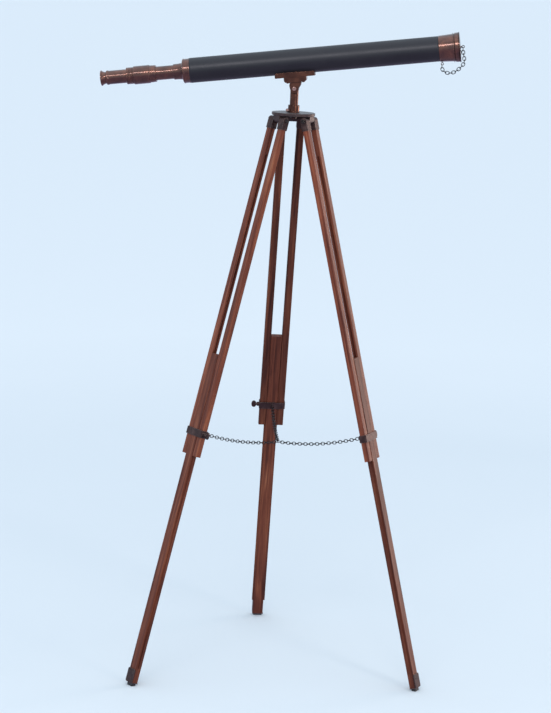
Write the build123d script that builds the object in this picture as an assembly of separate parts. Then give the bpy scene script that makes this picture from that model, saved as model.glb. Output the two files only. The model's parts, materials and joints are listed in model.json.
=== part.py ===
"""Floor-standing harbour telescope: a leather-wrapped tube on a three-legged wooden stand.

Millimetres, +Z up. The origin is on the floor, on the stand's vertical axis. The telescope
points along +X, its objective end raised.
"""

from build123d import *
import math
import os

# ---- the stand ----
HEAD_TOP_Z = 1424.0  # top of the head plate above the floor
HEAD_RADIUS = 54.0
HEAD_THICK = 7.2
HINGE_RADIUS = 43.5  # leg hinges from the stand's axis
HINGE_DROP = 18.0  # leg hinges below the top of the head plate
FOOT_RADIUS = 413.0  # where the legs' centre lines meet the floor
LEG_AZIMUTHS = {"rear": 100.0, "left": 220.0, "right": 340.0}

LEG_GAP = 28.4  # between the two rails of a leg
RAIL_WIDE = 18.4
RAIL_DEEP = 14.0
RAIL_TOP = 9.0  # rail's top below the hinge, along the leg
RAIL_END = 859.0  # rail's lower end below the hinge
GROOVE_WIDE = 5.0
GROOVE_DEEP = 4.0
GROOVE_TOP = 90.0

LOWER_WIDE = 27.8
LOWER_DEEP = 16.0
LOWER_TOP = 600.0  # lower leg's top below the hinge
TONGUE_WIDE = 4.4
TONGUE_DEEP = 3.6
EDGE_BEVEL = 1.2

SHOE_LONG = 35.0
SHOE_THICK = 2.6
SHOE_FLOOR = 1.6  # flange turned in under the wood
SHOE_SPREAD = 0.8  # plate's edges past the wood's
SHOE_SCREW_X = 7.5
SHOE_SCREW_DROP = 9.0
TIP_TALL = 6.5
TIP_WIDE = 23.0
TIP_DEEP = 12.0

CLAMP_DROP = 801.0  # clamp's middle below the hinge
CLAMP_TALL = 18.0
CLAMP_WALL = 1.8
CLAMP_PLAY = 0.25
BOSS_RADIUS = 5.5
BOSS_LONG = 6.0
SCREW_RADIUS = 3.0
SPADE_LONG = 13.0
SPADE_TALL = 18.0
SPADE_THICK = 3.4
EYE_REACH = 6.6  # chain eye's hole, in from the clamp's inner face
EYE_THICK = 2.6

CAP_WALL = 1.2
CAP_LONG = 24.0
CAP_ROUND = 8.2
LUG_WIDE = 25.2
LUG_ROUND = 8.0
BOLT_RADIUS = 3.0
RUN_FIT = 0.08  # radial clearance of pins and sliding tubes
BOLT_HEAD_RADIUS = 5.6
BOLT_HEAD_TALL = 3.6
NUT_FLATS = 10.0
NUT_TALL = 4.6

# ---- chains ----
LINK_LONG = 12.2
LINK_WIDE = 9.2
LINK_WIRE = 1.8
LINK_PITCH = 8.2
RING_RADIUS = 8.8
RING_WIRE = 1.6
CHAIN_SAG = 42.0  # spreader ring below the clamps' chain eyes

# ---- post and tilt head ----
SOCKET_RADIUS = 14.2
SOCKET_TALL = 18.5
POST_RADIUS = 10.4
PIVOT_RISE = 58.7  # tilt pivot above the head plate
TANG_THICK = 12.0
TANG_SHOULDER = 13.0  # below the pivot
STUD_RADIUS = 5.0
AXIS_RISE = 66.8  # tube's axis from the tilt pivot
TILT = 7.8  # degrees, objective end up
FACE_GAP = 0.1
LOCK_AZIMUTH = 222.0  # azimuth lock screw's side of the socket
LOCK_RISE = 5.4
LOCK_SCREW_RADIUS = 1.5
LOCK_HEAD_RADIUS = 4.2
LOCK_HEAD_LONG = 6.0
LOCK_REACH = 0.4  # screw's tip short of the post
STUD_BELOW = 8.0  # stud below the head plate
WASHER_RADIUS = 11.0
WASHER_THICK = 1.2
POST_NUT_FLATS = 15.0
POST_NUT_TALL = 5.0
SADDLE_HALF_LONG = 50.0
SADDLE_HALF_WIDE = 17.0
SADDLE_TOP = 20.0  # below the tube's axis
BLOCK_TOP = 38.0
BLOCK_BOTTOM = 50.4
BLOCK_HALF_LONG = 28.0
BLOCK_HALF_WIDE = 15.0
BLOCK_ROUND = 6.0
EAR_GAP = 0.3
EAR_RADIUS = 10.5
EAR_ROOT = 14.5  # half the ears' length where they leave the block
EAR_SHOULDER = 59.0
SADDLE_SCREW_RADIUS = 1.7
SADDLE_SCREW_X = 9.5
SADDLE_SCREW_Z = 19.5

# ---- telescope, stations along its axis from the foot of the pivot's perpendicular ----
EYECUP_END = -481.0
EYECUP_RING = -466.7
EYECUP_SEAT = -461.0
BUSH_REAR = -416.0
EYE_STOP = -376.6  # front of the eyepiece tube's stop flange
BARREL_REAR = -397.3
BARREL_STEP = -358.3
BARREL_FRONT = -341.1
GUIDE_REAR = -296.9
RING_REAR = -273.1
LEATHER_REAR = -255.0
LEATHER_FRONT = 363.8
BEAD_START = 398.2
LIP_START = 402.2
LIP_FRONT = 413.4
SADDLE_MIDDLE = 4.5
CHAIN_EYE_RADIUS = 3.0
CHAIN_EYE_WIRE = 0.8
CHAIN_EYE_IN = 5.0  # staple under the cell, from the leather's front edge
CHAIN_EYE_DOWN = 37.4  # its loop below the tube's axis
CAP_EYE_Z = 423.1  # the loop on the cap's stud

LEATHER_RADIUS = 31.0
TUBE_RADIUS = 29.8
TUBE_BORE = 28.3
RING_OUTER = 30.6
CELL_REAR_RADIUS = 32.0
CELL_FRONT_RADIUS = 33.8
BEAD_RADIUS = 35.8
LIP_RADIUS = 36.2
FLANGE_RADIUS = 37.2
DRAW_RADIUS = 17.1
DRAW_BORE = 15.6
EYE_RADIUS = 17.0
EYE_BORE = 15.4
BARREL_RADIUS = 22.7
EYECUP_RADIUS = 19.3

# ---- worked out from the above ----
HINGE_Z = HEAD_TOP_Z - HINGE_DROP
LEAN = math.degrees(math.atan2(FOOT_RADIUS - HINGE_RADIUS, HINGE_Z))
LEG_LONG = math.hypot(FOOT_RADIUS - HINGE_RADIUS, HINGE_Z)
SHOE_END = LEG_LONG - TIP_TALL
SHOE_TOP = SHOE_END - SHOE_LONG
RAIL_MID = (LEG_GAP + RAIL_WIDE) / 2
RAIL_OUTER = LEG_GAP / 2 + RAIL_WIDE
PIVOT_Z = HEAD_TOP_Z + PIVOT_RISE


def box(x0, x1, y0, y1, z0, z1):
    """A block between its lowest and highest corners."""
    return Pos((x0 + x1) / 2, (y0 + y1) / 2, (z0 + z1) / 2) * Box(x1 - x0, y1 - y0, z1 - z0)


def rod(radius, z0, z1):
    """A round bar along Z."""
    return Pos(0, 0, (z0 + z1) / 2) * Cylinder(radius, z1 - z0)


def cross_rod(radius, x0, x1):
    """A round bar along X."""
    return Pos((x0 + x1) / 2, 0, 0) * Rot(0, 90, 0) * Cylinder(radius, x1 - x0)


def turned(*points):
    """A turned part about Z, from (radius, height) corners of its half section."""
    outline = Polyline(*[(r, 0, z) for r, z in points], close=True)
    return revolve(make_face(outline), Axis.Z, 360)


def hexagon(across_flats, z0, z1):
    """A hexagonal bar along Z."""
    sketch = RegularPolygon(across_flats / 2, 6, major_radius=False)
    return Pos(0, 0, z0) * extrude(sketch, z1 - z0)


def write(name, *solids):
    """Writes one node: one solid, or a group of separate ones."""
    shape = solids[0] if len(solids) == 1 else Compound(children=list(solids))
    export_step(shape, f"parts/{name}.step")


def leg_place(azimuth):
    """The leg's own frame: origin at its hinge, X along the hinge, Y outward, Z up the leg."""
    a = math.radians(azimuth)
    lean = math.radians(LEAN)
    outward = Vector(math.cos(a), math.sin(a), 0)
    side = Vector(math.sin(a), -math.cos(a), 0)
    up = Vector(0, 0, 1) * math.cos(lean) - outward * math.sin(lean)
    origin = outward * HINGE_RADIUS + Vector(0, 0, HINGE_Z)
    return Plane(origin=origin, x_dir=side, z_dir=up).location


def head_place(azimuth):
    """As leg_place, but upright."""
    a = math.radians(azimuth)
    origin = Vector(math.cos(a), math.sin(a), 0) * HINGE_RADIUS + Vector(0, 0, HINGE_Z)
    return Plane(origin=origin, x_dir=(math.sin(a), -math.cos(a), 0), z_dir=(0, 0, 1)).location


def tube_place():
    """The telescope's frame: Z along its axis towards the objective, Y down, at the saddle."""
    t = math.radians(TILT)
    rise = Vector(-math.sin(t), 0, math.cos(t)) * AXIS_RISE
    origin = Vector(0, 0, PIVOT_Z) + rise
    return Plane(origin=origin, x_dir=(0, -1, 0), z_dir=(math.cos(t), 0, math.sin(t))).location


def tilt_place():
    """The tilt pivot's frame: Z along the telescope, Y down, X along the pivot bolt."""
    t = math.radians(TILT)
    origin = (0, 0, PIVOT_Z)
    return Plane(origin=origin, x_dir=(0, -1, 0), z_dir=(math.cos(t), 0, math.sin(t))).location


# ---------------------------------------------------------------- stand head


def tripod_head():
    plate_low = HEAD_TOP_Z - HEAD_THICK
    plate = rod(HEAD_RADIUS, plate_low, HEAD_TOP_Z)
    plate = chamfer(plate.edges().filter_by(GeomType.CIRCLE), 0.8)
    plate -= rod(STUD_RADIUS + RUN_FIT, plate_low - 1, HEAD_TOP_Z + 1)
    for azimuth in LEG_AZIMUTHS.values():
        half = LUG_WIDE / 2
        lug = box(-half, half, -LUG_ROUND, LUG_ROUND, 0, HINGE_DROP - HEAD_THICK)
        lug += cross_rod(LUG_ROUND, -half, half)
        lug -= cross_rod(BOLT_RADIUS + RUN_FIT, -LUG_WIDE, LUG_WIDE)
        plate += head_place(azimuth) * lug
    return plate


def post_socket():
    inner = POST_RADIUS + RUN_FIT
    top = HEAD_TOP_Z + SOCKET_TALL
    socket = turned(
        (inner, HEAD_TOP_Z),
        (SOCKET_RADIUS + 1.6, HEAD_TOP_Z),
        (SOCKET_RADIUS + 1.6, HEAD_TOP_Z + 1.6),
        (SOCKET_RADIUS, HEAD_TOP_Z + 3.2),
        (SOCKET_RADIUS, top - 1.0),
        (SOCKET_RADIUS - 1.0, top),
        (inner, top),
    )
    return socket - azimuth_place() * cross_rod(LOCK_SCREW_RADIUS + RUN_FIT, 0, 2 * SOCKET_RADIUS)


def azimuth_place():
    return Pos(0, 0, HEAD_TOP_Z + LOCK_RISE) * Rot(0, 0, LOCK_AZIMUTH)


def azimuth_lock_screw():
    seat = SOCKET_RADIUS + 1.9
    shank = cross_rod(LOCK_SCREW_RADIUS, POST_RADIUS + LOCK_REACH, seat + 1.0)
    head = cross_rod(LOCK_HEAD_RADIUS, seat, seat + LOCK_HEAD_LONG)
    head = chamfer(head.edges().filter_by(GeomType.CIRCLE), 0.7)
    return azimuth_place() * (head + shank)


def hinge_bolt():
    reach = RAIL_OUTER + CAP_WALL + FACE_GAP
    shank = cross_rod(BOLT_RADIUS, -reach - 1.0, reach + NUT_TALL + 1.2)
    head = cross_rod(BOLT_HEAD_RADIUS, -reach - BOLT_HEAD_TALL, -reach)
    head = fillet(head.edges().filter_by(GeomType.CIRCLE).sort_by(Axis.X)[0], 1.6)
    slot = box(-reach - BOLT_HEAD_TALL - 1, -reach - BOLT_HEAD_TALL + 1.2, -0.6, 0.6, -8, 8)
    return shank + head - slot


def hinge_nut():
    reach = RAIL_OUTER + CAP_WALL + FACE_GAP
    nut = hexagon(NUT_FLATS, 0, NUT_TALL) - rod(BOLT_RADIUS, -1, NUT_TALL + 1)
    return Pos(reach, 0, 0) * Rot(0, 90, 0) * nut


# ---------------------------------------------------------------- legs


def rail(side):
    """One of a leg's two upper rails, grooved on the face that looks at the other."""
    middle = side * RAIL_MID
    half_wide = RAIL_WIDE / 2
    half_deep = RAIL_DEEP / 2
    wood = box(middle - half_wide, middle + half_wide, -half_deep, half_deep, -RAIL_END, -RAIL_TOP)
    wood = chamfer(wood.edges().filter_by(Axis.Z), EDGE_BEVEL)
    inner = side * LEG_GAP / 2
    low, high = sorted((inner - side, inner + side * GROOVE_DEEP))
    return wood - box(low, high, -GROOVE_WIDE / 2, GROOVE_WIDE / 2, -RAIL_END - 1, -GROOVE_TOP)


def hinge_cap(side):
    """The metal ferrule over a rail's top, rounded about the hinge bolt."""
    half_wide = RAIL_WIDE / 2 + CAP_WALL
    half_deep = RAIL_DEEP / 2 + CAP_WALL
    middle = side * RAIL_MID
    cap = box(middle - half_wide, middle + half_wide, -half_deep, half_deep, -CAP_LONG, 0)
    cap += cross_rod(CAP_ROUND, middle - half_wide, middle + half_wide)
    wood = box(
        middle - RAIL_WIDE / 2,
        middle + RAIL_WIDE / 2,
        -RAIL_DEEP / 2,
        RAIL_DEEP / 2,
        -CAP_LONG - 1,
        -RAIL_TOP,
    )
    cap -= wood
    return cap - cross_rod(BOLT_RADIUS + RUN_FIT, middle - RAIL_WIDE, middle + RAIL_WIDE)


def lower_leg():
    half = LOWER_WIDE / 2
    bottom = -SHOE_END + SHOE_FLOOR
    wood = box(-half, half, -LOWER_DEEP / 2, LOWER_DEEP / 2, bottom, -LOWER_TOP)
    wood = chamfer(wood.edges().filter_by(Axis.Z), EDGE_BEVEL)
    reach = half + TONGUE_DEEP
    tongue_low = -SHOE_TOP + 6
    half_tongue = TONGUE_WIDE / 2
    return wood + box(-reach, reach, -half_tongue, half_tongue, tongue_low, -LOWER_TOP)


def leg_shoe():
    """The metal plate screwed to a lower leg's outer face and turned in under its end."""
    half = LOWER_WIDE / 2 + SHOE_SPREAD
    deep = LOWER_DEEP / 2
    plate = box(-half, half, deep, deep + SHOE_THICK, -SHOE_END, -SHOE_TOP)
    plate = chamfer(plate.edges().filter_by(Axis.Y), 2.4)
    shoe = plate + box(-half, half, -deep, deep + 0.5, -SHOE_END, -SHOE_END + SHOE_FLOOR)
    for x in (-SHOE_SCREW_X, SHOE_SCREW_X):
        head = Rot(90, 0, 0) * Cylinder(3.0, 1.8)
        head = chamfer(head.edges().filter_by(GeomType.CIRCLE), 0.6)
        shoe += Pos(x, deep + SHOE_THICK, -SHOE_TOP - SHOE_SCREW_DROP) * head
    return shoe


def foot_tip(place):
    """A pad under the foot plate, its sole flat on the floor."""
    pad = Pos(0, 0, -SHOE_END - TIP_TALL) * Box(TIP_WIDE, TIP_DEEP, 2 * TIP_TALL)
    pad = place * chamfer(pad.edges().filter_by(Axis.Z), 2.0)
    reach = 4 * FOOT_RADIUS
    return pad - box(-reach, reach, -reach, reach, -6 * TIP_TALL, 0)


def clamp_band():
    """The band round both rails and the lower leg, with its screw boss and chain eye."""
    inner_y = LOWER_DEEP / 2 + CLAMP_PLAY
    outer_x = RAIL_OUTER + CLAMP_WALL
    outer_y = inner_y + CLAMP_WALL
    half = CLAMP_TALL / 2
    band = box(-outer_x, outer_x, -outer_y, outer_y, -half, half)
    band = fillet(band.edges().filter_by(Axis.Z), 3.0)
    boss = cross_rod(BOSS_RADIUS, -outer_x - BOSS_LONG, -outer_x + 1)
    eye_end = -outer_y - EYE_REACH
    eye = box(-EYE_THICK / 2, EYE_THICK / 2, eye_end, -outer_y + 0.5, -3.4, 3.4)
    eye += Pos(0, eye_end, 0) * cross_rod(3.4, -EYE_THICK / 2, EYE_THICK / 2)
    eye -= Pos(0, eye_end, 0) * cross_rod(2.0, -EYE_THICK, EYE_THICK)
    band = band + boss + eye
    band -= box(-RAIL_OUTER, RAIL_OUTER, -inner_y, inner_y, -CLAMP_TALL, CLAMP_TALL)
    band -= cross_rod(SCREW_RADIUS + RUN_FIT, -outer_x - BOSS_LONG - 1, -RAIL_OUTER + 1)
    return Pos(0, 0, -CLAMP_DROP) * band


def clamp_screw():
    """A spade-headed thumb screw that presses the rails on the lower leg."""
    neck = RAIL_OUTER + CLAMP_WALL + BOSS_LONG + 1.0
    shank = cross_rod(SCREW_RADIUS, -neck - 2, -RAIL_OUTER - 0.1)
    half = SPADE_THICK / 2
    middle = -neck - SPADE_LONG / 2
    outline = Plane.XZ * Pos(middle, 0) * Ellipse(SPADE_LONG / 2, SPADE_TALL / 2)
    spade = extrude(outline, half, both=True)
    collar = cross_rod(SCREW_RADIUS + 1.2, -neck - 3, -neck)
    return Pos(0, 0, -CLAMP_DROP) * (shank + spade + collar)


# ---------------------------------------------------------------- chains


def chain_link():
    """One oval wire link, long along X, flat in the XY plane."""
    path = SlotOverall(LINK_LONG - LINK_WIRE, LINK_WIDE - LINK_WIRE).wire()
    section = Plane(origin=path @ 0, z_dir=path % 0) * Circle(LINK_WIRE / 2)
    return sweep(section, path=path)


def links_along(path, first, last, level_first, level_last):
    """Interlocked links whose middles run from one length along a path to another.

    A level link's hole looks sideways; every other link is turned a quarter.
    """
    count = math.ceil((last - first) / LINK_PITCH)
    if (count % 2 == 0) != (level_first == level_last):
        count += 1
    link = chain_link()
    placed = []
    for i in range(count + 1):
        length = first + (last - first) * i / count
        middle = path.position_at(length, PositionMode.LENGTH)
        along = path.tangent_at(length, PositionMode.LENGTH)
        level = Vector(0, 0, 1).cross(along).normalized()
        looks_level = (i % 2 == 0) == level_first
        normal = level if looks_level else along.cross(level)
        place = Plane(origin=middle, x_dir=along, z_dir=normal).location
        placed.append(link.moved(place))
    return placed


def clamp_eye(azimuth):
    """The hole's middle in a clamp's chain eye."""
    reach = LOWER_DEEP / 2 + CLAMP_PLAY + CLAMP_WALL + EYE_REACH
    return (leg_place(azimuth) * Pos(0, -reach, -CLAMP_DROP)).position


def ring_height():
    return clamp_eye(LEG_AZIMUTHS["rear"]).Z - CHAIN_SAG


def spreader_chain(azimuth):
    """A strand from the middle ring out to a clamp, hanging in a shallow curve."""
    eye = clamp_eye(azimuth)
    a = math.radians(azimuth)
    out = math.hypot(eye.X, eye.Y)
    low = ring_height()
    start = Vector(0, 0, low)
    halfway = Vector(math.cos(a), math.sin(a), 0) * out / 2 + Vector(0, 0, low + CHAIN_SAG / 4)
    level = Vector(math.cos(a), math.sin(a), 0)
    rise = math.atan(2 * CHAIN_SAG / out)
    climb = level * math.cos(rise) + Vector(0, 0, 1) * math.sin(rise)
    path = Spline(start, halfway, eye, tangents=[level, climb])
    hook = (LINK_LONG - LINK_WIRE) / 2
    first = RING_RADIUS - RING_WIRE - 0.3 + hook
    last = path.length - hook
    return links_along(path, first, last, True, False)


def spreader_ring():
    return Pos(0, 0, ring_height()) * Torus(RING_RADIUS, RING_WIRE / 2)


def cap_chain():
    """The chain that keeps the lens cap, from its stud down over the rim and back under the cell."""
    path = tube_place() * Spline(
        (0, 0, CAP_EYE_Z),
        (0, 26, CAP_EYE_Z),
        (0, 39, CAP_EYE_Z - 1.2),
        (0, 50, LIP_FRONT - 1.0),
        (0, 61.5, LIP_FRONT - 26.0),
        (0, 57, LIP_FRONT - 41.0),
        (0, CHAIN_EYE_DOWN, LEATHER_FRONT + CHAIN_EYE_IN),
    )
    eye_room = CHAIN_EYE_RADIUS - CHAIN_EYE_WIRE - LINK_WIRE / 2 - 0.2
    hook = (LINK_LONG - LINK_WIRE) / 2 + eye_room
    return links_along(path, hook, path.length - hook, False, False)


# ---------------------------------------------------------------- post and tilt head


def pivot_post():
    """The round post: a tang for the tilt bracket above, a threaded stud below."""
    foot = HEAD_TOP_Z + FACE_GAP
    shoulder = PIVOT_Z - TANG_SHOULDER
    post = rod(POST_RADIUS, foot, shoulder)
    half = TANG_THICK / 2
    tang = box(-POST_RADIUS, POST_RADIUS, -half, half, shoulder, PIVOT_Z)
    tang += Pos(0, 0, PIVOT_Z) * Rot(90, 0, 0) * Cylinder(POST_RADIUS, TANG_THICK)
    tang &= rod(POST_RADIUS, shoulder, PIVOT_Z + 2 * POST_RADIUS)
    tang -= Pos(0, 0, PIVOT_Z) * Rot(90, 0, 0) * Cylinder(BOLT_RADIUS + RUN_FIT, 2 * TANG_THICK)
    stud = rod(STUD_RADIUS, HEAD_TOP_Z - HEAD_THICK - STUD_BELOW, foot)
    return post + tang + stud


def post_washer():
    low = HEAD_TOP_Z - HEAD_THICK - FACE_GAP
    washer = rod(WASHER_RADIUS, low - WASHER_THICK, low)
    return washer - rod(STUD_RADIUS, low - 2 * WASHER_THICK, low + 1)


def post_nut():
    high = HEAD_TOP_Z - HEAD_THICK - FACE_GAP - WASHER_THICK
    low = high - POST_NUT_TALL
    return hexagon(POST_NUT_FLATS, low, high) - rod(STUD_RADIUS, low - 1, high + 1)


def saddle_plate():
    """The long foot under the tube, hollowed to fit the leather."""
    low = SADDLE_MIDDLE - SADDLE_HALF_LONG
    high = SADDLE_MIDDLE + SADDLE_HALF_LONG
    plate = box(-SADDLE_HALF_WIDE, SADDLE_HALF_WIDE, SADDLE_TOP, BLOCK_TOP, low, high)
    plate = chamfer(plate.edges().filter_by(Axis.Y), 3.0)
    plate -= rod(LEATHER_RADIUS + 0.05, 2 * low, 2 * high)
    return tube_place() * plate


def tilt_bracket():
    """The lobed block under the saddle plate and the two ears that straddle the post's tang."""
    low = SADDLE_MIDDLE - BLOCK_HALF_LONG
    high = SADDLE_MIDDLE + BLOCK_HALF_LONG
    block = box(-BLOCK_HALF_WIDE, BLOCK_HALF_WIDE, BLOCK_TOP, BLOCK_BOTTOM, low, high)
    lower = block.edges().filter_by(Axis.X).sort_by(Axis.Y)[-2:]
    block = fillet(lower, BLOCK_ROUND)
    top = SADDLE_MIDDLE
    ear = Polyline(
        (BLOCK_BOTTOM - 0.4, top - EAR_ROOT),
        (BLOCK_BOTTOM - 0.4, top + EAR_ROOT),
        (EAR_SHOULDER, top / 2 + EAR_ROOT - 0.5),
        (AXIS_RISE, EAR_RADIUS),
        (AXIS_RISE, -EAR_RADIUS),
        (EAR_SHOULDER, top / 2 - EAR_ROOT + 0.5),
        close=True,
    )
    profile = make_face(Plane.YZ * ear)
    outer = POST_RADIUS + EAR_GAP
    inner = TANG_THICK / 2 + EAR_GAP
    ears = extrude(profile, outer, both=True)
    ears += Pos(0, AXIS_RISE, 0) * cross_rod(EAR_RADIUS, -outer, outer)
    ears -= box(-inner, inner, BLOCK_BOTTOM, AXIS_RISE + 2 * EAR_RADIUS, -20, 20)
    bracket = block + ears
    bracket -= Pos(0, AXIS_RISE, 0) * cross_rod(BOLT_RADIUS, -20, 20)
    return tube_place() * (bracket - saddle_screw_holes())


def saddle_screw_spots():
    spots = []
    for x in (-SADDLE_SCREW_X, SADDLE_SCREW_X):
        for z in (-SADDLE_SCREW_Z, SADDLE_SCREW_Z):
            spots.append(Pos(x, 0, SADDLE_MIDDLE + z))
    return spots


def saddle_screw_holes():
    hole = Pos(0, 44, 0) * Rot(90, 0, 0) * Cylinder(SADDLE_SCREW_RADIUS, 14)
    holes = [spot * hole for spot in saddle_screw_spots()]
    return holes[0] + holes[1:]


def saddle_screws():
    """Four screws up through the bracket into the saddle plate."""
    screws = []
    for spot in saddle_screw_spots():
        shank = Pos(0, 45.4, 0) * Rot(90, 0, 0) * Cylinder(SADDLE_SCREW_RADIUS, 13)
        head = Pos(0, BLOCK_BOTTOM + 1.0, 0) * Rot(90, 0, 0) * Cylinder(2.8, 2)
        screws.append(tube_place() * spot * (shank + head))
    return screws


def tilt_bolt():
    """The bolt through ears and tang, its slotted round head on the telescope's right."""
    outer = POST_RADIUS + EAR_GAP
    shank = cross_rod(BOLT_RADIUS, -outer - 12, outer + 1)
    head = cross_rod(5.4, outer, outer + 3.6)
    head = fillet(head.edges().filter_by(GeomType.CIRCLE).sort_by(Axis.X)[-1], 1.8)
    slot = box(outer + 2.4, outer + 5, -0.6, 0.6, -8, 8)
    return tilt_place() * (shank + head - slot)


def tilt_nut():
    """A wing nut on the tilt bolt."""
    outer = -POST_RADIUS - 0.5
    hub = cross_rod(6.0, outer - 8, outer)
    wings = box(outer - 11, outer - 2, -15, 15, -1.4, 1.4)
    wings = fillet(wings.edges().filter_by(Axis.Z), 4.0)
    nut = hub + wings
    return tilt_place() * (nut - cross_rod(BOLT_RADIUS + RUN_FIT, outer - 20, outer + 1))


# ---------------------------------------------------------------- telescope


def main_tube():
    return rod(TUBE_RADIUS, RING_REAR + 6, LEATHER_FRONT + 20) - rod(TUBE_BORE, -400, 500)


def leather_wrap():
    return rod(LEATHER_RADIUS, LEATHER_REAR, LEATHER_FRONT) - rod(TUBE_RADIUS, -400, 500)


def rear_ring():
    """The turned ring that closes the tube's rear and carries the draw tube's guide."""
    return turned(
        (20.4, RING_REAR),
        (28.6, RING_REAR),
        (RING_OUTER, RING_REAR + 1.6),
        (RING_OUTER, RING_REAR + 3.2),
        (29.9, RING_REAR + 4.2),
        (29.9, LEATHER_REAR - 3.6),
        (RING_OUTER, LEATHER_REAR - 3.0),
        (RING_OUTER, LEATHER_REAR),
        (TUBE_RADIUS, LEATHER_REAR),
        (TUBE_RADIUS, RING_REAR + 6),
        (TUBE_BORE, RING_REAR + 6),
        (TUBE_BORE, LEATHER_REAR),
        (20.4, LEATHER_REAR),
    )


def draw_guide():
    """The collar that the draw tube slides in."""
    bore = DRAW_RADIUS + RUN_FIT
    return turned(
        (bore, GUIDE_REAR),
        (18.7, GUIDE_REAR),
        (19.3, GUIDE_REAR + 0.8),
        (19.5, GUIDE_REAR + 12),
        (20.6, RING_REAR - 3.0),
        (22.5, RING_REAR - 1.6),
        (22.5, RING_REAR),
        (20.4, RING_REAR),
        (20.4, LEATHER_REAR + 6),
        (bore, LEATHER_REAR + 6),
    )


def objective_cell():
    """The flared copper cell that holds the objective, with its bead and front lip."""
    return turned(
        (TUBE_RADIUS, LEATHER_FRONT),
        (CELL_REAR_RADIUS - 0.6, LEATHER_FRONT),
        (CELL_REAR_RADIUS, LEATHER_FRONT + 0.8),
        (CELL_FRONT_RADIUS, BEAD_START),
        (BEAD_RADIUS, BEAD_START + 0.6),
        (BEAD_RADIUS, BEAD_START + 2.2),
        (CELL_FRONT_RADIUS, BEAD_START + 2.8),
        (CELL_FRONT_RADIUS, LIP_START),
        (LIP_RADIUS - 0.6, LIP_START + 1.4),
        (LIP_RADIUS, LIP_FRONT - 1.0),
        (LIP_RADIUS - 1.0, LIP_FRONT),
        (33.2, LIP_FRONT),
        (33.2, LIP_FRONT - 13.0),
        (31.4, LIP_FRONT - 13.0),
        (31.4, LEATHER_FRONT + 24),
        (28.6, LEATHER_FRONT + 24),
        (28.6, LEATHER_FRONT + 20),
        (TUBE_RADIUS, LEATHER_FRONT + 20),
    )


def objective_lens():
    """A bi-convex lens with flat rim."""
    middle = LEATHER_FRONT + 29
    ball = 260.0
    bulge = ball - 4.2
    lens = Pos(0, 0, middle - bulge) * Sphere(ball) & Pos(0, 0, middle + bulge) * Sphere(ball)
    return lens & rod(31.4, middle - 8, middle + 8)


def lens_retainer():
    low = LEATHER_FRONT + 32.4
    return rod(31.4, low, low + 3.4) - rod(28.0, low - 1, low + 5)


def tube_baffle():
    return rod(TUBE_BORE, 60, 62) - rod(20, 59, 63)


def chain_eye():
    """The small staple under the cell that the cap chain hangs from."""
    station = LEATHER_FRONT + CHAIN_EYE_IN
    loop = Pos(0, CHAIN_EYE_DOWN, station) * Rot(0, 90, 0) * Torus(CHAIN_EYE_RADIUS, CHAIN_EYE_WIRE)
    stem_end = CHAIN_EYE_DOWN - CHAIN_EYE_RADIUS
    stem = Pos(0, (31 + stem_end) / 2, station) * Rot(90, 0, 0) * Cylinder(1.2, stem_end - 31)
    return loop + stem - objective_cell()


def lens_cap():
    """A push-in cap: a skirt in the lip, a flange against it and a slightly domed face."""
    front = LIP_FRONT + 0.1
    return turned(
        (0, front),
        (31.4, front),
        (31.4, front - 9.0),
        (32.9, front - 9.0),
        (32.9, front),
        (FLANGE_RADIUS, front),
        (FLANGE_RADIUS, front + 1.8),
        (FLANGE_RADIUS - 0.7, front + 2.5),
        (26, front + 3.3),
        (13, front + 3.8),
        (0, front + 4.0),
    )


def cap_stud():
    """The stud and eye at the middle of the lens cap."""
    base = LIP_FRONT + 3.5
    stem = rod(2.4, base, CAP_EYE_Z - CHAIN_EYE_RADIUS)
    eye = Pos(0, 0, CAP_EYE_Z) * Rot(0, 90, 0) * Torus(CHAIN_EYE_RADIUS, CHAIN_EYE_WIRE)
    return stem + eye - lens_cap()


def draw_tube():
    tube = rod(DRAW_RADIUS, BARREL_FRONT - 10, LEATHER_REAR + 70)
    tube += rod(22.0, LEATHER_REAR + 70, LEATHER_REAR + 73)
    return tube - rod(DRAW_BORE, -400, 0)


def eyepiece_barrel():
    return turned(
        (DRAW_RADIUS, BARREL_FRONT),
        (19.8, BARREL_FRONT),
        (20.8, BARREL_FRONT - 1.4),
        (21.2, BARREL_STEP + 6),
        (21.2, BARREL_STEP + 2.0),
        (BARREL_RADIUS, BARREL_STEP),
        (BARREL_RADIUS, BARREL_REAR + 0.8),
        (BARREL_RADIUS - 0.8, BARREL_REAR),
        (20.0, BARREL_REAR),
        (20.0, BARREL_FRONT - 10),
        (DRAW_RADIUS, BARREL_FRONT - 10),
    )


def eyepiece_bush():
    """The ringed collar that the eyepiece tube slides in."""
    bore = EYE_RADIUS + RUN_FIT
    ring_long = (BARREL_REAR - BUSH_REAR) / 5
    points = [(bore, BUSH_REAR), (19.6, BUSH_REAR)]
    for i in range(5):
        start = BUSH_REAR + i * ring_long
        points.append((20.9, start + 0.25 * ring_long))
        points.append((20.9, start + 0.75 * ring_long))
        points.append((20.1, start + ring_long))
    points.append((20.0, BARREL_REAR))
    points.append((20.0, BARREL_REAR + 8))
    points.append((bore, BARREL_REAR + 8))
    return turned(*points)


def lens(radius, middle, half_thick, ball):
    """A small bi-convex lens."""
    bulge = ball - half_thick
    shape = Pos(0, 0, middle - bulge) * Sphere(ball) & Pos(0, 0, middle + bulge) * Sphere(ball)
    return shape & rod(radius, middle - 2 * half_thick, middle + 2 * half_thick)


def eyepiece_tube():
    tube = rod(EYE_RADIUS, EYECUP_SEAT, EYE_STOP) + rod(19.6, EYE_STOP - 2, EYE_STOP)
    return tube - rod(EYE_BORE, -500, -300)


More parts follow.
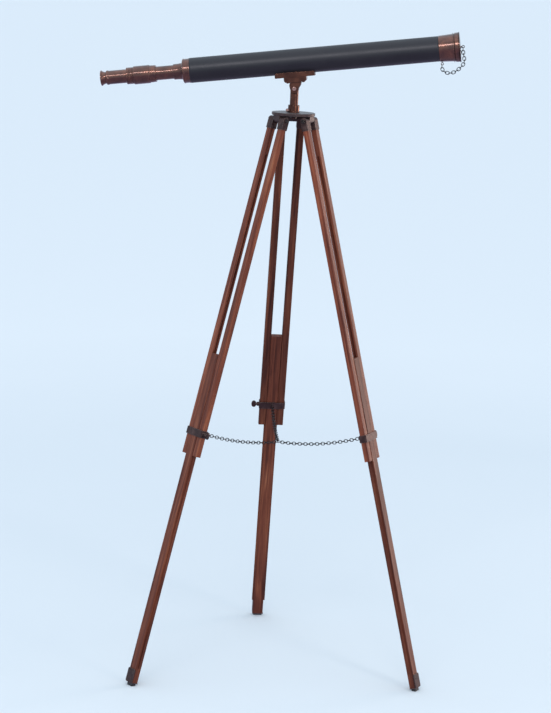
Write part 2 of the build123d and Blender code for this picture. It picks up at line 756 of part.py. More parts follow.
def eyecup():
    """The turned cup: a ring, a waist and a flared, dished rim."""
    return turned(
        (5.0, EYECUP_END + 6),
        (16.8, EYECUP_END + 0.4),
        (18.6, EYECUP_END),
        (EYECUP_RADIUS, EYECUP_END + 0.8),
        (EYECUP_RADIUS - 0.3, EYECUP_END + 2.2),
        (16.6, EYECUP_END + 5.2),
        (14.8, EYECUP_END + 9.4),
        (14.6, EYECUP_RING - 1.4),
        (17.2, EYECUP_RING),
        (17.9, EYECUP_RING + 1.2),
        (17.9, EYECUP_SEAT - 1.2),
        (17.2, EYECUP_SEAT),
        (EYE_BORE, EYECUP_SEAT),
        (EYE_BORE, EYECUP_SEAT + 5),
        (13.6, EYECUP_SEAT + 5),
        (13.6, EYECUP_SEAT - 4),
        (5.0, EYECUP_SEAT - 4),
    )


# ---------------------------------------------------------------- the model


def main():
    os.makedirs("parts", exist_ok=True)
    write("tripod_head", tripod_head())
    write("post_socket", post_socket())
    write("azimuth_lock_screw", azimuth_lock_screw())
    heads = [head_place(a) for a in LEG_AZIMUTHS.values()]
    write("leg_hinge_bolts", *[place * hinge_bolt() for place in heads])
    write("leg_hinge_nuts", *[place * hinge_nut() for place in heads])

    for name, azimuth in LEG_AZIMUTHS.items():
        place = leg_place(azimuth)
        write(f"rail_{name}_a", place * rail(-1))
        write(f"rail_{name}_b", place * rail(1))
        write(f"hinge_caps_{name}", place * hinge_cap(-1), place * hinge_cap(1))
        write(f"lower_leg_{name}", place * lower_leg())
        write(f"leg_shoe_{name}", place * leg_shoe())
        write(f"foot_tip_{name}", foot_tip(place))
        write(f"clamp_band_{name}", place * clamp_band())
        write(f"clamp_screw_{name}", place * clamp_screw())
        write(f"spreader_chain_{name}", *spreader_chain(azimuth))
    write("spreader_ring", spreader_ring())

    write("pivot_post", pivot_post())
    write("post_washer", post_washer())
    write("post_nut", post_nut())
    write("saddle_plate", saddle_plate())
    write("tilt_bracket", tilt_bracket())
    write("saddle_screws", *saddle_screws())
    write("tilt_bolt", tilt_bolt())
    write("tilt_nut", tilt_nut())

    tube = tube_place()
    write("main_tube", tube * main_tube())
    write("leather_wrap", tube * leather_wrap())
    write("rear_ring", tube * rear_ring())
    write("draw_guide", tube * draw_guide())
    write("objective_cell", tube * objective_cell())
    write("objective_lens", tube * objective_lens())
    write("lens_retainer", tube * lens_retainer())
    write("tube_baffle", tube * tube_baffle())
    write("chain_eye", tube * chain_eye())
    write("lens_cap", tube * lens_cap())
    write("cap_stud", tube * cap_stud())
    write("cap_chain", *cap_chain())
    write("draw_tube", tube * draw_tube())
    write("eyepiece_barrel", tube * eyepiece_barrel())
    write("eyepiece_bush", tube * eyepiece_bush())
    erectors = [lens(DRAW_BORE, -225, 3.0, 60.0), lens(DRAW_BORE, -300, 3.0, 60.0)]
    write("erector_lenses", *[tube * one for one in erectors])
    write("eyepiece_tube", tube * eyepiece_tube())
    write("eyecup", tube * eyecup())
    eye_lenses = [lens(EYE_BORE, -392, 3.0, 60.0), lens(EYE_BORE, -440, 3.4, 50.0)]
    write("eyepiece_lenses", *[tube * one for one in eye_lenses])


main()
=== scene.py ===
"""Looks of the floor-standing harbour telescope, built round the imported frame. Metres, +Z up."""
import json
import math

import bpy
import bmesh
import numpy as np
from mathutils import Matrix, Vector, noise


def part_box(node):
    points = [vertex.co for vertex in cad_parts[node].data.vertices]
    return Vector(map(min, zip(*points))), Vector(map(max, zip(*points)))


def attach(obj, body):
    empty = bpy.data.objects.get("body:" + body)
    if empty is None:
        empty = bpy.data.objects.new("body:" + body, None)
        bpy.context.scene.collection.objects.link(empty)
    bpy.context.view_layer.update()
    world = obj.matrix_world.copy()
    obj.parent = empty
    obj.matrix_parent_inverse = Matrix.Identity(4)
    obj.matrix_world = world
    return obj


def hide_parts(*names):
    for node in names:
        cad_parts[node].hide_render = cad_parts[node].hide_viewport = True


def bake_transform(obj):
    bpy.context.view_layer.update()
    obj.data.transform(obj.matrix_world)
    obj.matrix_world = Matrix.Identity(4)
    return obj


MM = 0.001

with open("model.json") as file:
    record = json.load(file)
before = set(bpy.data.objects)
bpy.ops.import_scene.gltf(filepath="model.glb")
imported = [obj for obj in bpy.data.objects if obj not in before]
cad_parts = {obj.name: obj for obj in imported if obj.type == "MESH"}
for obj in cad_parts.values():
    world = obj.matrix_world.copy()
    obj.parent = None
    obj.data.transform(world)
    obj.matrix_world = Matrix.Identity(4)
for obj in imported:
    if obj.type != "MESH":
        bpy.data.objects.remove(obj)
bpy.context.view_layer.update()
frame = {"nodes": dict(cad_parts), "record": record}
nodes = frame["nodes"]
joints = {joint["name"]: joint for joint in frame["record"]["behaviour"]["joints"]}
LEGS = ("rear", "left", "right")


# ---------------------------------------------------------------- places

def frame_of(origin, x, z):
    """The matrix of a place, from its origin, X and Z directions."""
    z = Vector(z).normalized()
    x = Vector(x)
    x = (x - z * x.dot(z)).normalized()
    y = z.cross(x)
    place = Matrix.Identity(4)
    for column, axis in enumerate((x, y, z, Vector(origin))):
        for row in range(3):
            place[row][column] = axis[row]
    return place


def middle_of(node):
    """The middle of a node's box."""
    low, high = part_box(node)
    return (Vector(low) + Vector(high)) / 2


def leg_frame(leg):
    """Origin at the leg's hinge, X along the hinge bolt, Y outward, Z up the leg."""
    hinge = joints[f"fold_{leg}"]
    side = -Vector(hinge["axis"])
    return frame_of(hinge["pos_m"], side, joints[f"extend_{leg}"]["axis"])


def tube_frame():
    """Origin on the telescope's axis beside the tilt pivot, Z towards the objective, Y down."""
    axis = Vector(joints["draw_slide"]["axis"]).normalized()
    pivot = Vector(joints["tilt"]["pos_m"])
    middle = middle_of("objective_lens")
    foot = middle + axis * (pivot - middle).dot(axis)
    return frame_of(foot, (0, -1, 0), axis)


TUBE = tube_frame()
LEG = {leg: leg_frame(leg) for leg in LEGS}


def along_tube(node):
    """The lowest and highest station of a node along the telescope's axis."""
    back = TUBE.inverted()
    stations = [(back @ vertex.co).z for vertex in nodes[node].data.vertices]
    return min(stations), max(stations)


def widest(node):
    """A turned node's largest radius about the telescope's axis."""
    back = TUBE.inverted()
    points = [back @ vertex.co for vertex in nodes[node].data.vertices]
    return max(math.hypot(point.x, point.y) for point in points)


# ---------------------------------------------------------------- shading

class Shader:
    """A material whose nodes are added one at a time."""

    def __init__(self, name, place=None, shift=(0, 0, 0)):
        self.material = bpy.data.materials.new(name)
        self.material.use_nodes = True
        self.tree = self.material.node_tree
        self.tree.nodes.clear()
        output = self.tree.nodes.new("ShaderNodeOutputMaterial")
        self.surface = self.tree.nodes.new("ShaderNodeBsdfPrincipled")
        self.tree.links.new(self.surface.outputs[0], output.inputs[0])
        self.coords = self.tree.nodes.new("ShaderNodeTexCoord").outputs["Object"]
        if place is not None:
            turn = place.to_3x3().transposed()
            origin = turn @ place.translation
            move = Vector(shift) - origin
            self.coords = self.add(
                "Mapping",
                {"Vector": self.coords, "Rotation": turn.to_euler("XYZ"), "Location": move},
            ).outputs[0]

    def add(self, kind, inputs=None, **settings):
        made = self.tree.nodes.new("ShaderNode" + kind)
        for name, value in settings.items():
            setattr(made, name, value)
        for name, value in (inputs or {}).items():
            self.plug(made.inputs[name], value)
        return made

    def plug(self, socket, value):
        if isinstance(value, bpy.types.Node):
            value = value.outputs[0]
        if isinstance(value, bpy.types.NodeSocket):
            self.tree.links.new(value, socket)
        elif socket.type == "RGBA" and len(value) == 3:
            socket.default_value = (*value, 1.0)
        else:
            socket.default_value = value

    def set(self, **values):
        for name, value in values.items():
            self.plug(self.surface.inputs[name.replace("_", " ")], value)

    def stretched(self, scale):
        return self.add("Mapping", {"Vector": self.coords, "Scale": scale}).outputs[0]

    def noise(self, scale, detail=3.0, rough=0.5, bend=0.0, coords=None):
        made = self.add("TexNoise", {
            "Vector": self.coords if coords is None else coords,
            "Scale": scale,
            "Detail": detail,
            "Roughness": rough,
            "Distortion": bend,
        })
        return made.outputs[0]

    def cells(self, scale, feature):
        made = self.add("TexVoronoi", {"Vector": self.coords, "Scale": scale}, feature=feature)
        return made.outputs["Distance"]

    def span(self, value, low, high, to_low=0.0, to_high=1.0):
        return self.add("MapRange", {
            "Value": value,
            "From Min": low,
            "From Max": high,
            "To Min": to_low,
            "To Max": to_high,
        }).outputs[0]

    def maths(self, operation, a, b=0.0):
        made = self.add("Math", operation=operation)
        self.plug(made.inputs[0], a)
        self.plug(made.inputs[1], b)
        return made.outputs[0]

    def mix(self, factor, a, b):
        made = self.add("Mix", data_type="RGBA")
        self.plug(made.inputs[0], factor)
        self.plug(made.inputs[6], a)
        self.plug(made.inputs[7], b)
        return made.outputs[2]

    def ramp(self, factor, *stops):
        made = self.add("ValToRGB", {"Fac": factor})
        band = made.color_ramp
        band.elements[0].position = stops[0][0]
        band.elements[0].color = (*stops[0][1], 1)
        band.elements[1].position = stops[-1][0]
        band.elements[1].color = (*stops[-1][1], 1)
        for position, colour in stops[1:-1]:
            band.elements.new(position).color = (*colour, 1)
        return made.outputs[0]

    def rounded(self, radius):
        """A normal that rounds sharp edges off, and a mask that is 1 on them."""
        soft = self.add("Bevel", {"Radius": radius}, samples=6).outputs[0]
        plain = self.add("NewGeometry").outputs["Normal"]
        dot = self.add("VectorMath", {0: soft, 1: plain}, operation="DOT_PRODUCT").outputs["Value"]
        return soft, self.span(dot, 0.995, 0.90)

    def bump(self, height, depth, normal, strength):
        inputs = {"Height": height, "Distance": depth, "Strength": strength}
        if normal is not None:
            inputs["Normal"] = normal
        return self.add("Bump", inputs).outputs[0]


def copper(name, place, depth, turned=True, rubbed=0.0):
    """Antiqued copper: dark reddish brown, worn bright on its edges, and darkened in its corners by
    painted shade that partly stands for patina in the hollows.

    depth scales the patina's colours down to a darker one, which on the lens cap paints shade;
    rubbed is the share of bright bare metal, which on the tilt bolt and lock screw is partly wear
    and partly a painted glint.
    """
    s = Shader(name, place)
    soft, edge = s.rounded(0.7 * MM)
    cloud = s.noise(38, 4, 0.6, 0.4)
    fine = s.noise(420, 3, 0.6)
    speck = s.span(s.noise(1500, 2, 0.7), 0.55, 0.75)
    patina = s.ramp(
        cloud,
        (0.28, tuple(depth * c for c in (0.064, 0.026, 0.020))),
        (0.48, tuple(depth * c for c in (0.134, 0.054, 0.037))),
        (0.66, tuple(depth * c for c in (0.215, 0.082, 0.050))),
        (0.82, tuple(depth * c for c in (0.310, 0.120, 0.068))),
    )
    patina = s.mix(s.span(fine, 0.35, 0.75, 0.0, 0.35), patina, (0.044, 0.021, 0.020))
    patina = s.mix(s.maths("MULTIPLY", speck, 0.16), patina, (0.26, 0.125, 0.095))
    # painted glint, partly wear: a bright bare-copper colour mixed in over the cloud pattern
    if rubbed:
        patina = s.mix(s.span(cloud, 0.2, 0.6, 0.6 * rubbed, rubbed), patina, (0.50, 0.30, 0.26))
    worn = s.maths("MULTIPLY", edge, s.span(cloud, 0.25, 0.6, 0.25, 0.80))
    colour = s.mix(worn, patina, (0.40 * depth, 0.205 * depth, 0.155 * depth))
    # painted shade, partly patina: where other faces of the same part lie within 5 mm, the colour
    # is darkened towards near black
    open_air = s.add("AmbientOcclusion", {"Distance": 5 * MM}, only_local=True, samples=8)
    corner_shade_and_patina = s.span(open_air.outputs["AO"], 0.45, 0.92, 0.85, 0.0)
    colour = s.mix(corner_shade_and_patina, colour, (0.016, 0.009, 0.009))
    height = s.maths("MULTIPLY", fine, 0.35)
    if turned:
        lines = s.noise(60, 2, 0.6, coords=s.stretched((0.05, 0.05, 55.0)))
        height = s.maths("ADD", height, lines)
    s.set(
        Base_Color=colour,
        Metallic=0.92,
        Roughness=s.span(s.noise(150, 3, 0.55), 0.3, 0.7, 0.20, 0.27),
        Normal=s.bump(height, 0.03 * MM, soft, 0.09 if turned else 0.16),
    )
    if turned:
        s.set(Coat_Weight=0.7, Coat_Roughness=0.17)
    return s.material


def dark_metal(name, place, tint=(0.040, 0.031, 0.031), light=(0.10, 0.078, 0.074)):
    """Oxidised steel with brown patches, rubbed brighter on its edges."""
    s = Shader(name, place)
    soft, edge = s.rounded(0.8 * MM)
    cloud = s.noise(55, 5, 0.62, 0.6)
    fine = s.noise(700, 3, 0.6)
    base = s.ramp(
        cloud,
        (0.30, tuple(0.55 * c for c in tint)),
        (0.52, tint),
        (0.74, light),
    )
    rust = s.span(s.noise(120, 4, 0.7, 0.3), 0.56, 0.72, 0.0, 0.55)
    base = s.mix(rust, base, (0.095, 0.042, 0.030))
    worn = s.maths("MULTIPLY", edge, s.span(fine, 0.3, 0.7, 0.3, 0.9))
    s.set(
        Base_Color=s.mix(worn, base, (0.30, 0.26, 0.24)),
        Metallic=0.85,
        Roughness=s.span(cloud, 0.3, 0.7, 0.42, 0.58),
        Specular_IOR_Level=0.30,
        Normal=s.bump(fine, 0.06 * MM, soft, 0.6),
    )
    return s.material


def wood(name, place, shift, tone_and_shade):
    """Red-brown stained hardwood with long streaks, pores and a thin satin varnish."""
    s = Shader(name, place, shift)
    soft, edge = s.rounded(0.6 * MM)
    sway = s.noise(7, 2, 0.5, coords=s.stretched((1, 1, 0.5)))
    broad = s.noise(70, 4, 0.6, 0.9, coords=s.stretched((1.0, 1.0, 0.055)))
    bands = s.noise(210, 3, 0.55, 0.6, coords=s.stretched((1.0, 1.0, 0.035)))
    pores = s.noise(1500, 2, 0.6, coords=s.stretched((1.0, 1.0, 0.03)))
    grain = s.maths("ADD", s.maths("MULTIPLY", broad, 0.62), s.maths("MULTIPLY", bands, 0.38))
    grain = s.maths("ADD", grain, s.span(sway, 0.3, 0.7, -0.06, 0.06))
    colour = s.ramp(
        grain,
        (0.34, tuple(tone_and_shade * c for c in (0.058, 0.014, 0.009))),
        (0.44, tuple(tone_and_shade * c for c in (0.110, 0.028, 0.016))),
        (0.52, tuple(tone_and_shade * c for c in (0.160, 0.043, 0.023))),
        (0.60, tuple(tone_and_shade * c for c in (0.220, 0.066, 0.033))),
        (0.70, tuple(tone_and_shade * c for c in (0.310, 0.115, 0.058))),
    )
    dark_pores = s.span(pores, 0.60, 0.72, 0.0, 0.65)
    colour = s.mix(dark_pores, colour, (0.022, 0.008, 0.006))
    colour = s.mix(s.maths("MULTIPLY", edge, 0.35), colour, (0.040, 0.014, 0.010))
    relief = s.maths("SUBTRACT", s.maths("MULTIPLY", bands, 0.4), dark_pores)
    s.set(
        Base_Color=colour,
        Roughness=s.span(grain, 0.35, 0.7, 0.52, 0.40),
        Specular_IOR_Level=0.16,
        Normal=s.bump(relief, 0.07 * MM, soft, 0.5),
    )
    return s.material


def leather(name, place):
    """Black pebbled leather, slightly creased round the tube."""
    s = Shader(name, place)
    pebble = s.cells(760, "SMOOTH_F1")
    pore = s.cells(1900, "F1")
    crease = s.noise(90, 4, 0.6, 0.7, coords=s.stretched((1.0, 1.0, 2.2)))
    cloud = s.noise(16, 3, 0.5)
    colour = s.ramp(
        s.maths("ADD", s.maths("MULTIPLY", cloud, 0.6), s.maths("MULTIPLY", pebble, 0.5)),
        (0.30, (0.0052, 0.0048, 0.0062)),
        (0.60, (0.0095, 0.0088, 0.0108)),
        (0.85, (0.0170, 0.0160, 0.0190)),
    )
    height = s.maths("ADD", s.maths("MULTIPLY", pebble, 1.0), s.maths("MULTIPLY", pore, 0.30))
    height = s.maths("ADD", height, s.maths("MULTIPLY", crease, 0.9))
    s.set(
        Base_Color=colour,
        Roughness=s.span(cloud, 0.3, 0.7, 0.36, 0.47),
        Specular_IOR_Level=0.48,
        Specular_Tint=(0.90, 0.91, 1.0),
        Normal=s.bump(height, 0.16 * MM, None, 0.55),
    )
    return s.material


def thread(name):
    """Waxed dark thread with a twist."""
    s = Shader(name)
    twist = s.noise(2600, 2, 0.5)
    s.set(
        Base_Color=s.ramp(twist, (0.35, (0.012, 0.010, 0.010)), (0.7, (0.040, 0.032, 0.030))),
        Roughness=0.6,
        Normal=s.bump(twist, 0.08 * MM, None, 0.8),
    )
    return s.material


def chain_steel(name):
    """Dark oxidised wire, lighter in random patches."""
    s = Shader(name)
    cloud = s.noise(260, 3, 0.6)
    fine = s.noise(2200, 2, 0.6)
    colour = s.ramp(
        cloud,
        (0.32, (0.010, 0.008, 0.009)),
        (0.55, (0.020, 0.017, 0.019)),
        (0.75, (0.055, 0.045, 0.042)),
    )
    s.set(
        Base_Color=colour,
        Metallic=0.35,
        Specular_IOR_Level=0.25,
        Roughness=s.span(fine, 0.3, 0.7, 0.30, 0.46),
        Normal=s.bump(fine, 0.03 * MM, None, 0.5),
    )
    return s.material


def head_steel(name):
    """The head plate: dark painted metal, its faces that point up made pale as a painted reflection
    of the light overhead.
    """
    s = Shader(name)
    soft, edge = s.rounded(0.8 * MM)
    normal = s.add("NewGeometry").outputs["Normal"]
    up = s.add("SeparateXYZ", {0: normal}).outputs[2]
    cloud = s.noise(60, 5, 0.62, 0.4)
    fine = s.noise(800, 3, 0.6)
    dark = s.ramp(cloud, (0.3, (0.026, 0.017, 0.017)), (0.7, (0.080, 0.047, 0.044)))
    pale = s.ramp(cloud, (0.3, (0.080, 0.076, 0.080)), (0.7, (0.150, 0.146, 0.150)))
    # painted reflection: faces pointing up are mixed towards the pale colours
    colour = s.mix(s.span(up, 0.75, 0.98), dark, pale)
    colour = s.mix(s.maths("MULTIPLY", edge, 0.5), colour, (0.22, 0.17, 0.16))
    s.set(
        Base_Color=colour,
        Metallic=0.55,
        Roughness=s.span(cloud, 0.3, 0.7, 0.38, 0.52),
        Normal=s.bump(fine, 0.05 * MM, soft, 0.6),
    )
    return s.material


def brass(name, place):
    """Plain drawn brass, a little tarnished: the telescope's inside."""
    s = Shader(name, place)
    cloud = s.noise(60, 4, 0.6)
    lines = s.noise(90, 2, 0.6, coords=s.stretched((1.0, 1.0, 0.02)))
    s.set(
        Base_Color=s.ramp(cloud, (0.3, (0.20, 0.13, 0.055)), (0.7, (0.46, 0.33, 0.15))),
        Metallic=0.95,
        Roughness=s.span(cloud, 0.3, 0.7, 0.26, 0.4),
        Normal=s.bump(lines, 0.04 * MM, None, 0.4),
    )
    return s.material


def glass(name):
    """Polished lens glass with a faint bloom of dust."""
    s = Shader(name)
    dust = s.noise(700, 3, 0.6)
    s.set(
        Base_Color=s.ramp(dust, (0.4, (0.93, 0.97, 0.98)), (0.8, (0.86, 0.90, 0.92))),
        Roughness=s.span(dust, 0.4, 0.8, 0.01, 0.07),
        Transmission_Weight=1.0,
        IOR=1.52,
    )
    return s.material


def rubber(name, place):
    """Black moulded rubber, scuffed."""
    s = Shader(name, place)
    soft, edge = s.rounded(0.8 * MM)
    scuff = s.noise(220, 4, 0.65)
    colour = s.ramp(scuff, (0.35, (0.010, 0.010, 0.011)), (0.75, (0.045, 0.042, 0.040)))
    s.set(
        Base_Color=s.mix(s.maths("MULTIPLY", edge, 0.4), colour, (0.09, 0.085, 0.08)),
        Roughness=s.span(scuff, 0.3, 0.7, 0.55, 0.75),
        Normal=s.bump(scuff, 0.08 * MM, soft, 0.6),
    )
    return s.material


def dress(obj, material):
    """Gives every face of an object one material."""
    if not obj.material_slots:
        obj.data.materials.append(material)
    for slot in obj.material_slots:
        slot.link = "OBJECT"
        slot.material = material


# ---------------------------------------------------------------- mesh helpers

def mesh_object(name, vertices, faces, smooth=True):
    mesh = bpy.data.meshes.new(name)
    mesh.from_pydata([tuple(v) for v in vertices], [], faces)
    mesh.update()
    obj = bpy.data.objects.new(name, mesh)
    bpy.context.scene.collection.objects.link(obj)
    for polygon in mesh.polygons:
        polygon.use_smooth = smooth
    return obj


def grid_faces(rows, columns, close_rows=False, start=0):
    """Quads over rows of vertices, each row a closed ring of columns."""
    faces = []
    for i in range(rows if close_rows else rows - 1):
        for j in range(columns):
            a = start + i * columns + j
            b = start + i * columns + (j + 1) % columns
            c = start + ((i + 1) % rows) * columns + (j + 1) % columns
            d = start + ((i + 1) % rows) * columns + j
            faces.append((a, b, c, d))
    return faces


# ---------------------------------------------------------------- chains

def links_of(node):
    """Every link of a chain's frame node: its middle, its directions and its three sizes."""
    welded = bmesh.new()
    welded.from_mesh(nodes[node].data)
    bmesh.ops.remove_doubles(welded, verts=welded.verts, dist=0.01 * MM)
    welded.verts.ensure_lookup_table()
    seen = set()
    links = []
    for start in welded.verts:
        if start.index in seen:
            continue
        seen.add(start.index)
        waiting, island = [start], []
        while waiting:
            vertex = waiting.pop()
            island.append(vertex.co.copy())
            for edge in vertex.link_edges:
                other = edge.other_vert(vertex)
                if other.index not in seen:
                    seen.add(other.index)
                    waiting.append(other)
        points = np.array([tuple(co) for co in island])
        middle = points.mean(0)
        centred = points - middle
        axes = np.linalg.eigh(centred.T @ centred)[1]  # thinnest direction first
        wire, wide, long = (np.ptp(centred @ axes[:, k]) for k in range(3))
        links.append((Vector(middle), Vector(axes[:, 2]), Vector(axes[:, 0]), long, wide, wire))
    welded.free()
    return links


def link_mesh(middle, along, flat, long, wide, wire, turn):
    """One bent-wire link: an oval with a small weld on one side, which turn swaps round."""
    across = flat.cross(along).normalized()
    radius = wire / 2
    bend = wide / 2 - radius
    straight = long / 2 - radius - bend
    around, ring = 36, 10
    weld_reach, weld_rise = 1.1 * radius, 0.16
    half_arc = math.pi * bend
    length = 2 * half_arc + 4 * straight
    vertices = []
    for i in range(around):
        s = length * i / around
        if s < 2 * straight:
            centre = (s - straight, bend)
            outward = (0.0, 1.0)
        elif s < 2 * straight + half_arc:
            a = (s - 2 * straight) / bend
            centre = (straight + bend * math.sin(a), bend * math.cos(a))
            outward = (math.sin(a), math.cos(a))
        elif s < 4 * straight + half_arc:
            centre = (straight - (s - 2 * straight - half_arc), -bend)
            outward = (0.0, -1.0)
        else:
            a = (s - 4 * straight - half_arc) / bend
            centre = (-straight - bend * math.sin(a), -bend * math.cos(a))
            outward = (-math.sin(a), -math.cos(a))
        weld = math.exp(-((s - straight) / weld_reach) ** 2)
        swell = radius * (1 + weld_rise * weld)
        for j in range(ring):
            b = 2 * math.pi * j / ring
            out = swell * math.cos(b)
            lift = swell * math.sin(b)
            x = centre[0] + outward[0] * out
            y = centre[1] + outward[1] * out
            vertices.append(middle + along * (x * turn) + across * y + flat * lift)
    return vertices, around, ring


def chain(name, node, body, far_body, start, end, material, slot):
    """A chain of wire links that stands for a frame node."""
    vertices, faces, shares = [], [], []
    span = end - start
    for index, link in enumerate(links_of(node)):
        points, around, ring = link_mesh(*link, turn=1 if index % 2 else -1)
        faces += grid_faces(around, ring, close_rows=True, start=len(vertices))
        vertices += points
        t = min(1.0, max(0.0, (link[0] - start).dot(span) / span.length_squared))
        eased = t * t * (3 - 2 * t)
        shares += [eased] * len(points)  # one share for a whole link
    obj = mesh_object(name, vertices, faces)
    dress(obj, material)
    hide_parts(node)
    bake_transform(obj)


# ---------------------------------------------------------------- leather

LAP_AT = math.radians(128)  # the seam, from the tube's top over its far side
LAP_WIDE = 0.20  # radians
LAP_RISE = 0.55 * MM


def leather_sleeve(material):
    """The leather wrap: one sheet round the tube, lapped low on the far side."""
    rear, front = along_tube("leather_wrap")
    inner = widest("main_tube") + 0.05 * MM
    outer = widest("leather_wrap")
    around, count = 240, 150
    edge = 0.5 * MM  # the cut edges are rounded through one point half-way
    edge_in, edge_down = 0.15 * MM, 0.2 * MM
    wrinkle = 0.05 * MM
    stations = [(rear, inner), (rear, outer - edge), (rear + edge_in, outer - edge_down)]
    stations.append((rear + edge, outer))
    for i in range(1, count):
        stations.append((rear + edge + (front - rear - 2 * edge) * i / count, outer))
    stations += [(front - edge, outer), (front - edge_in, outer - edge_down)]
    stations += [(front, outer - edge), (front, inner)]
    vertices = []
    for station, radius in stations:
        for j in range(around):
            angle = 2 * math.pi * j / around
            away = (angle - LAP_AT + math.pi) % (2 * math.pi) - math.pi
            lap = 0.0
            if -LAP_WIDE < away <= 0:
                lap = LAP_RISE * (1 - (away / LAP_WIDE) ** 2)
            grown = radius
            if radius > inner:
                spot = Vector((math.sin(angle) * 3, math.cos(angle) * 3, station * 14))
                grown += lap + wrinkle * (noise.noise(spot) - 1.0)
            x = -math.sin(angle) * grown
            y = -math.cos(angle) * grown
            vertices.append(TUBE @ Vector((x, y, station)))
    faces = grid_faces(len(stations), around)
    obj = mesh_object("leather_sleeve", vertices, [tuple(reversed(f)) for f in faces])
    dress(obj, material)
    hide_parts("leather_wrap")
    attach(obj, "telescope")


def leather_stitches(material):
    """A row of stitches along the lap, each dipping into the leather at its ends."""
    rear, front = along_tube("leather_wrap")
    outer = widest("leather_wrap")
    stitches, stitch_faces = [], []
    pitch, long, thick = 4.2 * MM, 2.9 * MM, 0.33 * MM
    row = LAP_AT - 0.075
    along, around = 7, 8
    for i in range(int((front - rear - 6 * MM) / pitch)):
        middle = rear + 4 * MM + i * pitch
        start = len(stitches)
        for k in range(along):
            t = k / (along - 1) - 0.5
            dip = 0.45 * MM * (2 * t) ** 4
            lift = outer + LAP_RISE * 0.75 - dip
            swell = thick * math.sqrt(max(0.05, 1 - (2 * t) ** 6))
            for j in range(around):
                b = 2 * math.pi * j / around
                angle = row + swell * math.cos(b) / outer + 0.006 * t
                grown = lift + swell * math.sin(b)
                x = -math.sin(angle) * grown
                y = -math.cos(angle) * grown
                stitches.append(TUBE @ Vector((x, y, middle + t * long)))
        last = start + (along - 1) * around
        stitch_faces += grid_faces(along, around, start=start)
        stitch_faces.append(tuple(start + j for j in reversed(range(around))))
        stitch_faces.append(tuple(last + j for j in range(around)))
    sewn = mesh_object("leather_stitches", stitches, stitch_faces)
    dress(sewn, material)
    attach(sewn, "telescope")


# ---------------------------------------------------------------- dressing the frame

copper_turned = copper("copper_turned", TUBE, 0.86)
# the lens cap's copper is a darker copy of the tube's: painted shade on the cap
copper_cap_shaded = copper("copper_cap_shaded", TUBE, 0.42)
copper_plain = copper("copper_cast", None, 0.76, turned=False)
# bright bare copper for the tilt bolt and lock screw: partly wear, partly a painted glint on their
# heads
copper_rubbed_and_glint = copper("copper_rubbed_and_glint", None, 0.76, turned=False, rubbed=0.9)
metal = dark_metal("dark_metal", None)
steel = chain_steel("chain_steel")
black = leather("black_leather", TUBE)

for node in ("rear_ring", "draw_guide", "objective_cell", "chain_eye",
             "draw_tube", "eyepiece_barrel", "eyepiece_bush", "eyepiece_tube", "eyecup"):
    dress(nodes[node], copper_turned)
for node in ("lens_cap", "cap_stud"):
    dress(nodes[node], copper_cap_shaded)
for node in ("post_socket", "pivot_post", "saddle_plate", "tilt_bracket", "tilt_nut",
             "saddle_screws"):
    dress(nodes[node], copper_plain)
for node in ("tilt_bolt", "azimuth_lock_screw"):
    dress(nodes[node], copper_rubbed_and_glint)
for node in ("leg_hinge_bolts", "leg_hinge_nuts", "post_washer", "post_nut"):
    dress(nodes[node], metal)
dress(nodes["tripod_head"], head_steel("head_steel"))
for node in ("main_tube", "lens_retainer", "tube_baffle"):
    dress(nodes[node], brass("brass_" + node, TUBE))
lens_glass = glass("lens_glass")
for node in ("objective_lens", "erector_lenses", "eyepiece_lenses"):
    dress(nodes[node], lens_glass)
dress(nodes["spreader_ring"], steel)

# how light the rails a and b and the lower leg of each leg are; the rear leg's darker rails are
# painted shade on top of the boards' own tone
WOOD_TONE_AND_SHADE = {"rear": (0.70, 0.66, 0.98), "left": (1.04, 1.12, 0.90), "right": (1.00, 1.25, 0.84)}
for number, leg in enumerate(LEGS):
    place = LEG[leg]
    ferrule = dark_metal("ferrule_" + leg, place, (0.070, 0.042, 0.040), (0.150, 0.094, 0.082))
    for part in ("hinge_caps", "clamp_band", "clamp_screw", "leg_shoe"):
        dress(nodes[f"{part}_{leg}"], ferrule)
    dress(nodes[f"foot_tip_{leg}"], rubber("rubber_" + leg, place))
    for step, part in enumerate(("rail_{}_a", "rail_{}_b", "lower_leg_{}")):
        # every board is cut from another place in the grain
        shift = (0.31 * number + 0.17 * step, 0.23 * step, 1.9 * number + 0.7 * step)
        tone_and_shade = WOOD_TONE_AND_SHADE[leg][step]
        dress(nodes[part.format(leg)], wood("wood_" + part.format(leg), place, shift, tone_and_shade))

waxed = thread("waxed_thread")
leather_sleeve(black)
leather_stitches(waxed)

for leg in LEGS:
    ends = middle_of("spreader_ring"), middle_of(f"clamp_band_{leg}")
    strand = f"spreader_chain_{leg}"
    chain(f"chain_{leg}", strand, "head", f"leg_{leg}", *ends, steel, "chain_metal")
ends = middle_of("chain_eye"), middle_of("cap_stud")
chain("chain_cap", "cap_chain", "telescope", "cap", *ends, steel, "chain_metal")


# ---------------------------------------------------------------- stage, light and camera

def stage_floor():
    """A plain pale floor that runs out to the horizon."""
    size, sides = 120.0, 96
    turns = np.linspace(0, 2 * math.pi, sides + 1)[:-1]
    ring = [(size * math.cos(a), size * math.sin(a), 0.0) for a in turns]
    floor = mesh_object("floor", ring, [tuple(range(len(ring)))], smooth=False)
    s = Shader("floor_paper")
    reach = s.add("VectorMath", {0: s.coords}, operation="LENGTH").outputs["Value"]
    tint = s.span(s.noise(0.7, 2, 0.5), 0.3, 0.7, -0.05, 0.05)
    away = s.maths("ADD", s.span(reach, 0.4, 5.0), tint)
    s.set(
        Base_Color=s.ramp(away, (0.05, (0.635, 0.690, 0.728)), (0.95, (0.768, 0.803, 0.826))),
        Roughness=0.9,
        Specular_IOR_Level=0.1,
    )
    dress(floor, s.material)
    floor.visible_glossy = False


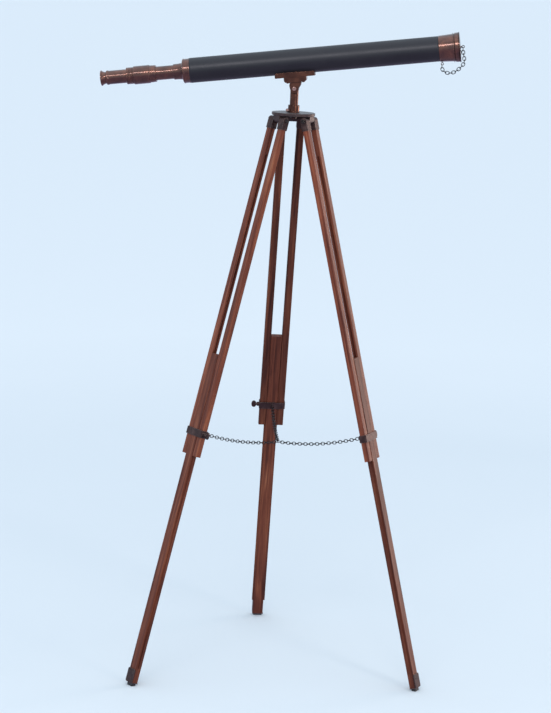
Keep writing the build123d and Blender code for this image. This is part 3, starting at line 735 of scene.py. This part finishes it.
def lamp(name, kind, place, target, energy, colour, **settings):
    data = bpy.data.lights.new(name, kind)
    data.energy = energy
    data.color = colour
    for key, value in settings.items():
        setattr(data, key, value)
    obj = bpy.data.objects.new(name, data)
    bpy.context.scene.collection.objects.link(obj)
    obj.location = place
    obj.rotation_mode = "QUATERNION"
    obj.rotation_quaternion = (Vector(target) - Vector(place)).to_track_quat("-Z", "Y")


def studio():
    """A pale tent of light over a dark pit that only glossy surfaces see, and soft lamps."""
    world = bpy.data.worlds.new("studio")
    bpy.context.scene.world = world
    world.use_nodes = True
    tree = world.node_tree
    background = tree.nodes["Background"]
    coords = tree.nodes.new("ShaderNodeTexCoord")
    height = tree.nodes.new("ShaderNodeSeparateXYZ")
    band = tree.nodes.new("ShaderNodeMapRange")
    band.inputs["From Min"].default_value = -0.30
    band.inputs["From Max"].default_value = 0.30
    tint = tree.nodes.new("ShaderNodeValToRGB")
    shades = tint.color_ramp.elements
    shades[0].color = (0.43, 0.40, 0.59, 1)  # the pit
    shades.new(0.5).color = (0.70, 0.826, 0.955, 1)  # the horizon
    shades[-1].color = (0.76, 0.875, 1.0, 1)  # overhead
    tree.links.new(coords.outputs["Generated"], height.inputs[0])
    tree.links.new(height.outputs[2], band.inputs[0])
    tree.links.new(band.outputs[0], tint.inputs[0])
    tree.links.new(tint.outputs[0], background.inputs["Color"])
    background.inputs["Strength"].default_value = 1.015
    lamp("key_softbox", "AREA", (-0.4, -3.6, 3.60), (0, 0, 1.45), 52, (1.0, 0.95, 0.93),
         shape="RECTANGLE", size=2.6, size_y=0.20)
    lamp("fill_softbox", "AREA", (2.6, -2.6, 2.0), (0, 0, 1.0), 22, (1.0, 0.90, 0.82),
         shape="RECTANGLE", size=0.6, size_y=1.6)
    lamp("rim_softbox", "AREA", (3.4, 2.6, 1.1), (0, 0, 0.9), 8.5, (1.0, 0.80, 0.66),
         shape="RECTANGLE", size=1.5, size_y=2.2, spread=math.radians(60))
    lamp("sun_top", "SUN", (0, 0, 6), (0.2, 0.4, 0), 0.5, (0.96, 0.98, 1.0), angle=math.radians(70))


def photo_camera():
    """Stands in front, a little to the telescope's right, looking slightly down."""
    spot = Vector((0.4890, -5.5892, 1.8403))
    turn, pitch, roll = (math.radians(d) for d in (-5.172, 10.448, 2.638))
    level = Vector((math.sin(turn), math.cos(turn), 0))
    ahead = level * math.cos(pitch) - Vector((0, 0, math.sin(pitch)))
    right = Vector((math.cos(turn), -math.sin(turn), 0))
    up = right.cross(ahead)
    across = right * math.cos(roll) + up * math.sin(roll)
    top = up * math.cos(roll) - right * math.sin(roll)
    data = bpy.data.cameras.new("camera")
    data.sensor_width = 36.0
    data.lens = 113.67
    data.clip_start, data.clip_end = 0.1, 400
    camera = bpy.data.objects.new("camera", data)
    bpy.context.scene.collection.objects.link(camera)
    place = Matrix.Identity(4)
    for column, axis in enumerate((across, top, -ahead, spot)):
        for row in range(3):
            place[row][column] = axis[row]
    camera.matrix_world = place
    bpy.context.scene.camera = camera


stage_floor()
studio()
photo_camera()
bpy.context.scene.view_settings.view_transform = "Standard"
